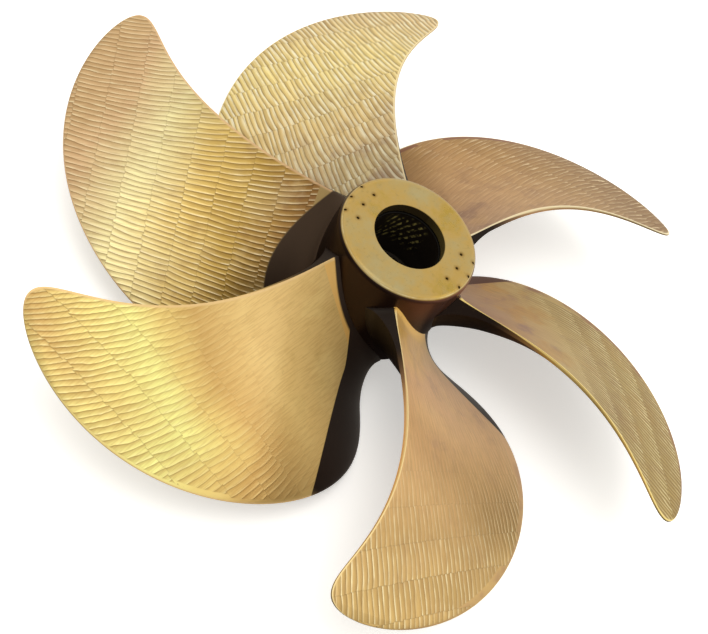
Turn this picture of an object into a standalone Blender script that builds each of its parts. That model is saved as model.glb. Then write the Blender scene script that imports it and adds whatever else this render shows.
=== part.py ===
"""A left-handed ship propeller: a bored boss and six skewed blades, in cast nickel-aluminium bronze.

It lies with its shaft axis upright and its aft end up, on the leading edges of its blades.
Metres, +Z aft along the shaft axis, origin on the floor under the axis, blade 1 along +X.
"""

from math import atan2, cos, pi, radians, sin, sqrt

import bmesh
import bpy

# Driving sizes. Every other size is a share of the tip radius R, as on a propeller drawing.
DIAMETER = 3.0
TIP_RADIUS = DIAMETER / 2
BLADE_COUNT = 6
CLEARANCE = 0.0003

# Boss: its aft edge is rounded, its forward edge only chamfered.
BOSS_RADIUS = 0.1955 * TIP_RADIUS
BOSS_LENGTH = 0.313 * TIP_RADIUS
AFT_ROUNDING = 0.0205 * TIP_RADIUS
ROUNDING_STEPS = 6
FORWARD_CHAMFER = 0.004
BOSS_SEGMENTS = 96

# Bore: it widens forward by 1 in 12 on the diameter, and a relief parts its two seats.
BORE_AFT_RADIUS = 0.094 * TIP_RADIUS
BORE_TAPER = 1 / 24
COUNTERBORE_DEPTH = 0.030 * TIP_RADIUS
COUNTERBORE_STEP = 0.009
RELIEF_DEPTH = 0.008
RELIEF_FROM, RELIEF_TO = 0.40, 0.70
BORE_CHAMFER = 0.002

# Tapped holes for the cap and the jacking ring, in two opposite groups of six.
HOLE_RADIUS = 0.0055
HOLE_DEPTH = 0.030
HOLE_CIRCLES = (0.147 * TIP_RADIUS, 0.184 * TIP_RADIUS)
HOLE_GROUPS = (radians(-81), radians(99))
HOLE_SPACING = 0.0505 * TIP_RADIUS
HOLE_SIDES = 12

# Blade design curves, as powers of u, which is 0 at the root (0.2 R) and 1 at the tip.
# Chord, rake, thickness and the pitch of the helix are shares of R, camber is a share of the chord,
# and skew is in radians towards the trailing edge.
ROOT = 0.2
CHORD = (0.352, 1.151, -1.469, 0.082, 0.466)
TIP_FULLNESS = 9.5
SKEW = (0.0, -1.341, 4.104, -3.652, 1.394)
RAKE = (-0.192, -0.441, 1.482, -1.705, 0.714)
PITCH = (1.537, 2.722, -5.355, 3.837, -0.752)
THICKNESS = (0.070, -0.100, 0.042)
CAMBER = (0.082, -0.117, 0.040)

# Section shape along the chord, from the leading edge (0) to the trailing edge (1).
FULLEST = 0.44
NOSE_POWER = 0.6
TAIL_POWER = 2.2
ROOT_EDGE, TIP_EDGE = 0.0160, 0.0045
NARROW_CHORD = 0.25

# Root fillets as pairs: how far each stands out at the boss, and how far up the blade it reaches.
# The one at the leading edge runs level, so that it stays flush with the boss's forward end, and
# the one on the back is fullest at the trailing edge.
FACE_FILLET = (0.012 * TIP_RADIUS, 0.060 * TIP_RADIUS)
BACK_FILLET = (0.075 * TIP_RADIUS, 0.125 * TIP_RADIUS)
NOSE_FILLET = (0.070 * TIP_RADIUS, 0.120 * TIP_RADIUS)
BACK_FILLET_LEAN = 0.6
FILLET_END_POWER = 8

# Forward of the boss the foot of a blade is trimmed by a 45 degree cone of this depth.
TRIM_DEPTH = 0.13 * TIP_RADIUS

# Mesh density of a blade.
FILLET_STATIONS = 5
SPAN_STATIONS = 22
TIP_CROWDING = 1.9
CHORD_POINTS = 15

BRONZE_MILLED = ((0.66, 0.49, 0.23), 0.34)
BRONZE_TURNED = ((0.52, 0.40, 0.20), 0.30)


def power_series(u, terms):
    """The design curve's value at u."""
    return sum(term * u**power for power, term in enumerate(terms))


def tail_thickness(u):
    """Thickness of the trailing edge as a share of R."""
    return ROOT_EDGE + (TIP_EDGE - ROOT_EDGE) * min(u, 1)


def half_thickness(share, thickness, edge):
    """Half thickness of a section at this share of the chord: blunt ahead, falling to the edge behind."""
    if share < FULLEST:
        return thickness / 2 * max(0, 1 - ((FULLEST - share) / FULLEST) ** 2) ** NOSE_POWER
    behind = (share - FULLEST) / (1 - FULLEST)
    return thickness / 2 - (thickness - edge) / 2 * behind**TAIL_POWER


def fillet(shape, radius):
    """How far this root fillet stands out at this radius: a quarter round, all of it on the boss."""
    width, height = shape
    up = min(1, max(0, radius - BOSS_RADIUS) / height)
    return width * (1 - sqrt(1 - (1 - up) ** 2))


def chord_shares():
    """Shares of the chord where a section has points, closest at its two edges."""
    return [(1 - cos(pi * i / CHORD_POINTS)) / 2 for i in range(CHORD_POINTS + 1)]


def section(radius):
    """The blade section on the cylinder of this radius, as a closed ring of points."""
    x = max(radius / TIP_RADIUS, ROOT)
    u = (x - ROOT) / (1 - ROOT)
    chord = power_series(u, CHORD) * sqrt(max(0, 1 - x**TIP_FULLNESS)) * TIP_RADIUS
    helix = atan2(power_series(u, PITCH), 2 * pi * x)
    skew = power_series(u, SKEW)
    rake = power_series(u, RAKE) * TIP_RADIUS
    narrow = min(1, chord / (NARROW_CHORD * TIP_RADIUS))
    thickness = power_series(u, THICKNESS) * TIP_RADIUS * narrow
    edge = tail_thickness(u) * TIP_RADIUS * narrow
    camber = power_series(u, CAMBER) * chord
    on_face, on_back, on_nose = (fillet(shape, radius) for shape in (FACE_FILLET, BACK_FILLET, NOSE_FILLET))
    face, back = [], []
    for share in chord_shares():
        along = (0.5 - share) * chord
        level = on_nose * (1 - share) ** 2
        mean = -camber * (1 - (2 * share - 1) ** 2)
        half = half_thickness(share, thickness, edge)
        end = (2 * share - 1) ** FILLET_END_POWER
        face_flare = on_face * (1 - end)
        back_flare = on_back * (1 - BACK_FILLET_LEAN * (1 - share**2))
        if share < 0.5:
            back_flare *= 1 - end
        face.append((along, level, mean + half + face_flare))
        back.append((along, level, mean - half - back_flare))
    ring = face + back[:0:-1]
    points = []
    for along, level, normal in ring:
        arc = along * cos(helix) + normal * sin(helix) + level
        angle = -skew + arc / (x * TIP_RADIUS)
        height = rake - along * sin(helix) + normal * cos(helix)
        points.append((radius * cos(angle), radius * sin(angle), height))
    return points


def blade_radii():
    """Radii of the blade's sections: one inside the boss, the fillet's, then out to just short of the tip."""
    radii = [0.9 * BOSS_RADIUS]
    height = NOSE_FILLET[1]
    for i in range(FILLET_STATIONS):
        radii.append(BOSS_RADIUS + height * (1 - cos(pi / 2 * i / FILLET_STATIONS)))
    foot = BOSS_RADIUS + height
    for i in range(SPAN_STATIONS):
        left = (1 - i / SPAN_STATIONS) ** TIP_CROWDING
        radii.append(TIP_RADIUS - (TIP_RADIUS - foot) * left)
    return radii


def lowest_point():
    """Height of the blades' lowest point, measured from the boss's aft face."""
    return min(point[2] for radius in blade_radii()[1:] for point in section(radius))


AFT_FACE = -lowest_point()
FORWARD_FACE = AFT_FACE - BOSS_LENGTH


def bronze(name, finish):
    """A bronze material with this colour and roughness."""
    colour, roughness = finish
    material = bpy.data.materials.new(name)
    material.use_nodes = True
    shader = material.node_tree.nodes["Principled BSDF"]
    shader.inputs["Base Color"].default_value = (*colour, 1)
    shader.inputs["Metallic"].default_value = 1
    shader.inputs["Roughness"].default_value = roughness
    return material


def new_object(name, mesh, material=None):
    """A named object in the scene, with its material."""
    part = bpy.data.objects.new(name, mesh)
    bpy.context.scene.collection.objects.link(part)
    if material:
        part.data.materials.append(material)
    return part


def shade(mesh, degrees):
    """Smooth shading with edges sharper than this left crisp."""
    mesh.shade_smooth()
    mesh.set_sharp_from_angle(angle=radians(degrees))


def turned_mesh(name, profile):
    """A solid of revolution about +Z from a closed profile of (radius, height) points."""
    shape = bmesh.new()
    rings = []
    for i in range(BOSS_SEGMENTS):
        angle = 2 * pi * i / BOSS_SEGMENTS
        ring = [shape.verts.new((r * cos(angle), r * sin(angle), z)) for r, z in profile]
        rings.append(ring)
    count = len(profile)
    for i, ring in enumerate(rings):
        after = rings[(i + 1) % BOSS_SEGMENTS]
        for j in range(count):
            k = (j + 1) % count
            shape.faces.new((ring[j], after[j], after[k], ring[k]))
    bmesh.ops.recalc_face_normals(shape, faces=shape.faces)
    mesh = bpy.data.meshes.new(name)
    shape.to_mesh(mesh)
    shape.free()
    return mesh


def cut(part, cutter):
    """Takes the cutter out of the part with a live Boolean."""
    cutter.hide_render = True
    cutter.display_type = "WIRE"
    boolean = part.modifiers.new("cut by " + cutter.name, "BOOLEAN")
    boolean.operation = "DIFFERENCE"
    boolean.solver = "EXACT"
    boolean.object = cutter


def bore_radius(depth):
    """Radius of the tapered bore at this depth below the aft face."""
    return BORE_AFT_RADIUS + BORE_TAPER * depth


def boss_profile():
    """Half section of the boss: outside from aft to forward, then back up through the bore."""
    relief_start, relief_end = RELIEF_FROM * BOSS_LENGTH, RELIEF_TO * BOSS_LENGTH
    mouth = BORE_AFT_RADIUS + COUNTERBORE_STEP
    wide = bore_radius(BOSS_LENGTH)
    outside = []
    for i in range(ROUNDING_STEPS + 1):
        turn = pi / 2 * i / ROUNDING_STEPS
        inward, down = AFT_ROUNDING * (1 - sin(turn)), AFT_ROUNDING * (1 - cos(turn))
        outside.append((BOSS_RADIUS - inward, AFT_FACE - down))
    return outside + [
        (BOSS_RADIUS, FORWARD_FACE + FORWARD_CHAMFER),
        (BOSS_RADIUS - FORWARD_CHAMFER, FORWARD_FACE),
        (wide + BORE_CHAMFER, FORWARD_FACE),
        (bore_radius(BOSS_LENGTH - BORE_CHAMFER), FORWARD_FACE + BORE_CHAMFER),
        (bore_radius(relief_end), AFT_FACE - relief_end),
        (bore_radius(relief_end) + RELIEF_DEPTH, AFT_FACE - relief_end + RELIEF_DEPTH),
        (bore_radius(relief_start) + RELIEF_DEPTH, AFT_FACE - relief_start - RELIEF_DEPTH),
        (bore_radius(relief_start), AFT_FACE - relief_start),
        (bore_radius(COUNTERBORE_DEPTH), AFT_FACE - COUNTERBORE_DEPTH),
        (mouth, AFT_FACE - COUNTERBORE_DEPTH),
        (mouth, AFT_FACE - BORE_CHAMFER),
        (mouth + BORE_CHAMFER, AFT_FACE),
    ]


def hole_places():
    """Centres of the tapped holes on the aft face."""
    for middle in HOLE_GROUPS:
        for circle in HOLE_CIRCLES:
            for step in (-1, 0, 1):
                angle = middle + step * HOLE_SPACING / circle
                yield circle * cos(angle), circle * sin(angle)


def hole_cutter():
    """One object with a drill-ended plug for each tapped hole."""
    shape = bmesh.new()
    point = HOLE_RADIUS * 0.6
    for x, y in hole_places():
        rings = []
        for z in (AFT_FACE + HOLE_RADIUS, AFT_FACE - HOLE_DEPTH):
            ring = []
            for i in range(HOLE_SIDES):
                angle = 2 * pi * i / HOLE_SIDES
                ring.append(shape.verts.new((x + HOLE_RADIUS * cos(angle), y + HOLE_RADIUS * sin(angle), z)))
            rings.append(ring)
        end = shape.verts.new((x, y, AFT_FACE - HOLE_DEPTH - point))
        shape.faces.new(rings[0])
        for i in range(HOLE_SIDES):
            k = (i + 1) % HOLE_SIDES
            shape.faces.new((rings[0][i], rings[1][i], rings[1][k], rings[0][k]))
            shape.faces.new((rings[1][i], end, rings[1][k]))
    bmesh.ops.recalc_face_normals(shape, faces=shape.faces)
    mesh = bpy.data.meshes.new("hole cutter")
    shape.to_mesh(mesh)
    shape.free()
    return new_object("hole_cutter", mesh)


def make_boss():
    """The boss: turned outside, with a tapered bore and two groups of tapped holes."""
    mesh = turned_mesh("boss", boss_profile())
    shade(mesh, 30)
    boss = new_object("boss", mesh, bronze("bronze, turned", BRONZE_TURNED))
    cut(boss, hole_cutter())
    return boss


def boss_cutter():
    """What a blade leaves free: the boss with the clearance round it, and the cone forward of it."""
    radius = BOSS_RADIUS + CLEARANCE
    core = 0.8 * BOSS_RADIUS
    top = AFT_FACE + AFT_ROUNDING
    bottom = FORWARD_FACE - TRIM_DEPTH
    profile = [
        (core, top),
        (radius, top),
        (radius, FORWARD_FACE),
        (radius + TRIM_DEPTH, bottom),
        (core, bottom),
    ]
    return new_object("boss_cutter", turned_mesh("boss cutter", profile))


def blade_mesh():
    """One blade: sections lofted from inside the boss to a point at the tip."""
    shape = bmesh.new()
    rings = []
    for radius in blade_radii():
        rings.append([shape.verts.new((x, y, z + AFT_FACE)) for x, y, z in section(radius)])
    count = len(rings[0])
    for inner, outer in zip(rings, rings[1:]):
        for j in range(count):
            k = (j + 1) % count
            shape.faces.new((inner[j], outer[j], outer[k], inner[k]))
    tip_angle = -power_series(1, SKEW)
    tip_height = AFT_FACE + power_series(1, RAKE) * TIP_RADIUS
    tip = shape.verts.new((TIP_RADIUS * cos(tip_angle), TIP_RADIUS * sin(tip_angle), tip_height))
    last = rings[-1]
    for j in range(count):
        shape.faces.new((last[j], tip, last[(j + 1) % count]))
    shape.faces.new(rings[0])
    bmesh.ops.recalc_face_normals(shape, faces=shape.faces)
    bmesh.ops.triangulate(shape, faces=shape.faces)
    mesh = bpy.data.meshes.new("blade")
    shape.to_mesh(mesh)
    shape.free()
    return mesh


def make_blades():
    """Six like blades round the boss, each its own object with its foot cut to the boss."""
    mesh = blade_mesh()
    shade(mesh, 40)
    mesh.materials.append(bronze("bronze, milled", BRONZE_MILLED))
    cutter = boss_cutter()
    for i in range(BLADE_COUNT):
        blade = new_object(f"blade_{i + 1}", mesh)
        blade.rotation_euler.z = 2 * pi * i / BLADE_COUNT
        cut(blade, cutter)


def clear_scene():
    """Removes what the startup scene holds."""
    for old in list(bpy.data.objects):
        bpy.data.objects.remove(old)


clear_scene()
make_boss()
make_blades()
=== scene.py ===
"""The looks of a ship propeller: a turned boss with six milled and ground blades, in cast bronze."""

from functools import partial
from math import cos, pi, radians, sin

import bmesh
import bpy
import numpy as np
from mathutils import Euler, Matrix, Vector


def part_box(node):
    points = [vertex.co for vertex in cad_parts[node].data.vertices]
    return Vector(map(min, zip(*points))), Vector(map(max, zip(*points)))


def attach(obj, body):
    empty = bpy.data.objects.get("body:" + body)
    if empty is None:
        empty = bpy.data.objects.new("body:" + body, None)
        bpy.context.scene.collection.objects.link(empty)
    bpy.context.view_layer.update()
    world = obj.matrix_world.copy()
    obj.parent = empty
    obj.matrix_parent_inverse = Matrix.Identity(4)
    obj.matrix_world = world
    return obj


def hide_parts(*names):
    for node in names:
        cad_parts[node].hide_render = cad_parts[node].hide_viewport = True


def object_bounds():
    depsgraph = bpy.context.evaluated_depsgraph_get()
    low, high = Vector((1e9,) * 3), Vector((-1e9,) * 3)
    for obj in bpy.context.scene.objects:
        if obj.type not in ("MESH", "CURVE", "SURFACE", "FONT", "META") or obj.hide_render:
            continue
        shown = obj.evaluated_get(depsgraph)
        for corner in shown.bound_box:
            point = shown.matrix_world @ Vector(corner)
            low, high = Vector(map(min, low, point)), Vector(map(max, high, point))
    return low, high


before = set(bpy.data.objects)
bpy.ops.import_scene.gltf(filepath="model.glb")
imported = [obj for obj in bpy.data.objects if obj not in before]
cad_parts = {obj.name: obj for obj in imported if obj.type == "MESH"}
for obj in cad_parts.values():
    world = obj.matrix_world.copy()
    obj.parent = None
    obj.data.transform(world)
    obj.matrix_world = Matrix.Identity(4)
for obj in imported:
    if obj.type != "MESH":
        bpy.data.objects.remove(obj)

cad_box = [list(corner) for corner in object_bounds()]


# Boss: the hub of the casting, in nickel-aluminium bronze, turned outside and faced at both ends. Its
# aft edge is rounded, its bore is tapered with a relieved middle and a counterbore, and the aft face
# holds two opposite groups of tapped holes. Lengths are in metres.
TIP_RADIUS = round(max(abs(value) for corner in cad_box for value in corner), 2)
AFT_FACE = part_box("boss")[1][2]
FORWARD_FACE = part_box("boss")[0][2]
BOSS_RADIUS = 0.1955 * TIP_RADIUS
BOSS_SEGMENTS, BOSS_SHARP = 240, radians(30)
FLAT_RINGS, ROUNDING_RINGS, SIDE_RINGS = 12, 16, 16
AFT_ROUNDING = 0.0205 * TIP_RADIUS
FORWARD_CHAMFER = 0.004
BORE_AFT_RADIUS = 0.094 * TIP_RADIUS
BORE_TAPER = 1 / 24
BORE_CHAMFER = 0.002
COUNTERBORE_DEPTH = 0.030 * TIP_RADIUS
COUNTERBORE_STEP = 0.009
COUNTERBORE_CHAMFER = 0.003
RELIEF_DEPTH = 0.008
RELIEF_FROM, RELIEF_TO = 0.40, 0.70
HOLE_RADIUS, HOLE_DEPTH = 0.0055, 0.030
HOLE_COUNTERSINK = 0.0022
HOLE_SIDES = 24
HOLE_CIRCLES = (0.147 * TIP_RADIUS, 0.184 * TIP_RADIUS)
HOLE_GROUPS = (radians(-81), radians(99))
HOLE_SPACING = 0.0505 * TIP_RADIUS


def turned(name, profile, segments):
    """A solid of revolution about +Z from a closed profile of (radius, height) points."""
    shape = bmesh.new()
    rings = []
    for i in range(segments):
        angle = 2 * pi * i / segments
        rings.append([shape.verts.new((r * cos(angle), r * sin(angle), z)) for r, z in profile])
    for i, ring in enumerate(rings):
        after = rings[(i + 1) % segments]
        for j, vert in enumerate(ring):
            k = (j + 1) % len(ring)
            shape.faces.new((vert, after[j], after[k], ring[k]))
    bmesh.ops.recalc_face_normals(shape, faces=shape.faces)
    mesh = bpy.data.meshes.new(name)
    shape.to_mesh(mesh)
    shape.free()
    return mesh


def link(name, data):
    """A named object in the scene, at the origin, from its mesh, lamp or camera."""
    piece = bpy.data.objects.new(name, data)
    bpy.context.scene.collection.objects.link(piece)
    return piece


def plain_mesh(piece, name):
    """The piece's evaluated shape as a mesh of its own."""
    depsgraph = bpy.context.evaluated_depsgraph_get()
    mesh = bpy.data.meshes.new_from_object(piece.evaluated_get(depsgraph))
    mesh.name = name
    return mesh


def bore_radius(depth):
    """Radius of the tapered bore at this depth below the aft face."""
    return BORE_AFT_RADIUS + BORE_TAPER * depth


def boss_profile():
    """Half section of the boss: outside from aft to forward, then back up through the bore."""
    length = AFT_FACE - FORWARD_FACE
    mouth, flat = BORE_AFT_RADIUS + COUNTERBORE_STEP, BOSS_RADIUS - AFT_ROUNDING
    inner = mouth + BORE_CHAMFER
    points = [(inner + (flat - inner) * i / FLAT_RINGS, AFT_FACE) for i in range(FLAT_RINGS)]
    for i in range(ROUNDING_RINGS + 1):
        turn = pi / 2 * i / ROUNDING_RINGS
        points.append((flat + AFT_ROUNDING * sin(turn), AFT_FACE - AFT_ROUNDING * (1 - cos(turn))))
    shoulder = AFT_FACE - AFT_ROUNDING
    side = shoulder - FORWARD_FACE - FORWARD_CHAMFER
    points += [(BOSS_RADIUS, shoulder - side * (i + 1) / SIDE_RINGS) for i in range(SIDE_RINGS)]
    low, high, step = RELIEF_TO * length, RELIEF_FROM * length, bore_radius(COUNTERBORE_DEPTH)
    return points + [
        (BOSS_RADIUS - FORWARD_CHAMFER, FORWARD_FACE),
        (bore_radius(length) + BORE_CHAMFER, FORWARD_FACE),
        (bore_radius(length - BORE_CHAMFER), FORWARD_FACE + BORE_CHAMFER),
        (bore_radius(low), AFT_FACE - low),
        (bore_radius(low) + RELIEF_DEPTH, AFT_FACE - low + RELIEF_DEPTH),
        (bore_radius(high) + RELIEF_DEPTH, AFT_FACE - high - RELIEF_DEPTH),
        (bore_radius(high), AFT_FACE - high),
        (step, AFT_FACE - COUNTERBORE_DEPTH - COUNTERBORE_CHAMFER),
        (step + COUNTERBORE_CHAMFER, AFT_FACE - COUNTERBORE_DEPTH),
        (mouth, AFT_FACE - COUNTERBORE_DEPTH),
        (mouth, AFT_FACE - BORE_CHAMFER),
    ]


# The kinds of node that come up again and again, each with its settings.
WAY, SPLIT = "ShaderNodeCombineXYZ", "ShaderNodeSeparateXYZ"
MATH, NOISE = "ShaderNodeMath", "ShaderNodeTexNoise"
SUMS = ("ADD", "SUBTRACT", "MULTIPLY", "DIVIDE", "MULTIPLY_ADD", "MAXIMUM", "MINIMUM", "SINE", "COSINE")
ADD, SUBTRACT, MULTIPLY, DIVIDE, MULTIPLY_ADD, MAXIMUM, MINIMUM, SINE, COSINE, ABSOLUTE, FLOOR = (
    (MATH, {"operation": sum_name}) for sum_name in SUMS + ("ABSOLUTE", "FLOOR")
)
RISE = ("ShaderNodeMapRange", {"interpolation_type": "SMOOTHSTEP"})
COAT = ("ShaderNodeMix", {"data_type": "RGBA"})


def connect(tree, node, inputs):
    """Links or sets the inputs of a node. A list holds several links into one input."""
    for key, sources in inputs.items():
        for source in sources if isinstance(sources, list) else [sources]:
            if isinstance(source, bpy.types.NodeSocket):
                tree.links.new(source, node.inputs[key])
            else:
                node.inputs[key].default_value = source


def add_node(tree, kind, *given, out=0, **settings):
    """Adds a node with its settings and links, and hands back one of its outputs.

    What is given goes into the inputs in their order, or by name where it is a dictionary.
    """
    kind, always = (kind, {}) if isinstance(kind, str) else kind
    node = tree.nodes.new(kind)
    for name, value in (always | settings).items():
        setattr(node, name, value)
    connect(tree, node, given[0] if given and isinstance(given[0], dict) else dict(enumerate(given)))
    return node.outputs[out] if node.outputs else None


def begin_group(name, sizes):
    """A geometry node group that takes these sizes and a finish: its tree, its adder and its inputs."""
    tree = bpy.data.node_groups.new(name, "GeometryNodeTree")
    add, ports = partial(add_node, tree), tree.interface
    ports.new_socket("Geometry", in_out="INPUT", socket_type="NodeSocketGeometry")
    for size in sizes:
        ports.new_socket(size, in_out="INPUT", socket_type="NodeSocketFloat")
    ports.new_socket("Finish", in_out="INPUT", socket_type="NodeSocketMaterial")
    ports.new_socket("Geometry", in_out="OUTPUT", socket_type="NodeSocketGeometry")
    return tree, add, add("NodeGroupInput").node.outputs


def end_group(add, geometry, finish):
    """Gives the geometry its finish and hands it out of the group."""
    real = add("GeometryNodeRealizeInstances", {"Geometry": geometry})
    finished = add("GeometryNodeSetMaterial", {"Geometry": real, "Material": finish})
    add("NodeGroupOutput", {"Geometry": finished})


def hole_tree():
    """Geometry nodes that drill the tapped holes into the aft face, each with a countersunk rim."""
    sizes = ("Aft face", "Spacing", "Hole radius", "Hole depth", "Countersink")
    tree, add, size = begin_group("tapped holes", sizes)
    radius, sink = size["Hole radius"], size["Countersink"]

    # The drill reaches as far above the face as below it. The cone of the rim widens as fast as it
    # rises, and is one countersink wider than the hole where it passes the face.
    drill_size = {"Vertices": HOLE_SIDES, "Radius": radius, "Depth": add(MULTIPLY, size["Hole depth"], 2.0)}
    drill = add("GeometryNodeMeshCylinder", drill_size, out="Mesh", fill_type="NGON")
    rim_size = {
        "Vertices": HOLE_SIDES, "Radius Top": add(MULTIPLY_ADD, sink, 3.0, radius),
        "Radius Bottom": add(SUBTRACT, radius, sink), "Depth": add(MULTIPLY, sink, 4.0),
    }
    rim = add("GeometryNodeMeshCone", rim_size, out="Mesh", fill_type="NGON")
    sunk = add(WAY, {"Z": add(MULTIPLY, sink, -2.0)})
    rim = add("GeometryNodeTransform", {"Geometry": rim, "Translation": sunk})
    bit = add("GeometryNodeMeshBoolean", {"Mesh 2": [drill, rim]}, operation="UNION", solver="EXACT")

    # Each row is three points at -1, 0 and 1, laid along its arc at the spacing of the holes.
    rows = []
    for middle in HOLE_GROUPS:
        for circle in HOLE_CIRCLES:
            line = {"Count": 3, "Start Location": (-1.0, 0.0, 0.0), "Offset": (1.0, 0.0, 0.0)}
            row = add("GeometryNodeMeshLine", line)
            step = add(SPLIT, add("GeometryNodeInputPosition"), out="X")
            angle = add(MULTIPLY_ADD, step, add(DIVIDE, size["Spacing"], circle), middle)
            east, north = (add(MULTIPLY, add(part, angle), circle) for part in (COSINE, SINE))
            spot = add(WAY, east, north, size["Aft face"])
            rows.append(add("GeometryNodeSetPosition", {"Geometry": row, "Position": spot}))
    points = add("GeometryNodeJoinGeometry", {"Geometry": rows})
    drills = add("GeometryNodeInstanceOnPoints", {"Points": points, "Instance": bit})
    cutter = add("GeometryNodeRealizeInstances", {"Geometry": drills})
    both = {"Mesh 1": size["Geometry"], "Mesh 2": cutter}
    drilled = add("GeometryNodeMeshBoolean", both, operation="DIFFERENCE", solver="EXACT")
    end_group(add, drilled, size["Finish"])
    return tree


# Finish of the boss: nickel-aluminium bronze, turned and left bare. The face is olive gold with brown
# stains round the holes, a painted highlight along the rounded rim and rings of the lathe tool. The
# side and the bore are painted dark as shade, each with a painted lit side, and scraped bars shine in
# the bore.

# Sizes of its patterns, in millimetres. A lathe's rings are less than 1 mm apart and too fine to show,
# so they are drawn coarser. BAR_SLANT is how far the bars' wave runs on, in radians, for each radian
# round the bore. They break up over BREAK_TURN radians round it and BREAK_LENGTH along it.
CLOUD_SIZE, BLOT_SIZE, SPECK_SIZE = 222, 58.8, 16.7
RING_SIZE = 2.38
BAR_SLANT, BAR_PITCH, BAR_RING_PITCH = -15.0, 108, 66
BREAK_TURN, BREAK_LENGTH = 0.20, 45.5

# In metres: how far in from the side the painted rim highlight starts, is full, fades and ends, how
# far the halo of a hole reaches, and how far down the bars start and end.
RIM_HIGHLIGHT = (0.0140, 0.0115, 0.0100, 0.0085)
HALO = (0.006, 0.019)
BARS_FROM, BARS_TO = (0.050, 0.075), (0.20, 0.26)


def linear(code):
    """Linear colour of an sRGB hex value."""
    channels = [int(code[i:i + 2], 16) / 255 for i in (1, 3, 5)]
    return tuple(c / 12.92 if c <= 0.04045 else ((c + 0.055) / 1.055) ** 2.4 for c in channels) + (1,)


def lay_tones(ramp, tones):
    """Sets the stops of a ramp, each an sRGB hex value at its place from 0 to 1."""
    stops = ramp.color_ramp.elements
    while len(stops) > 1:
        stops.remove(stops[-1])
    for n, (place, tone) in enumerate(tones):
        stop = stops[0] if n == 0 else stops.new(place)
        stop.position, stop.color = place, linear(tone)


def new_finish(name):
    """A new material, with its nodes, what adds to them, and its shader."""
    material = bpy.data.materials.new(name)
    material.use_nodes = True
    tree = material.node_tree
    return material, tree, partial(add_node, tree), tree.nodes["Principled BSDF"]


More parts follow.
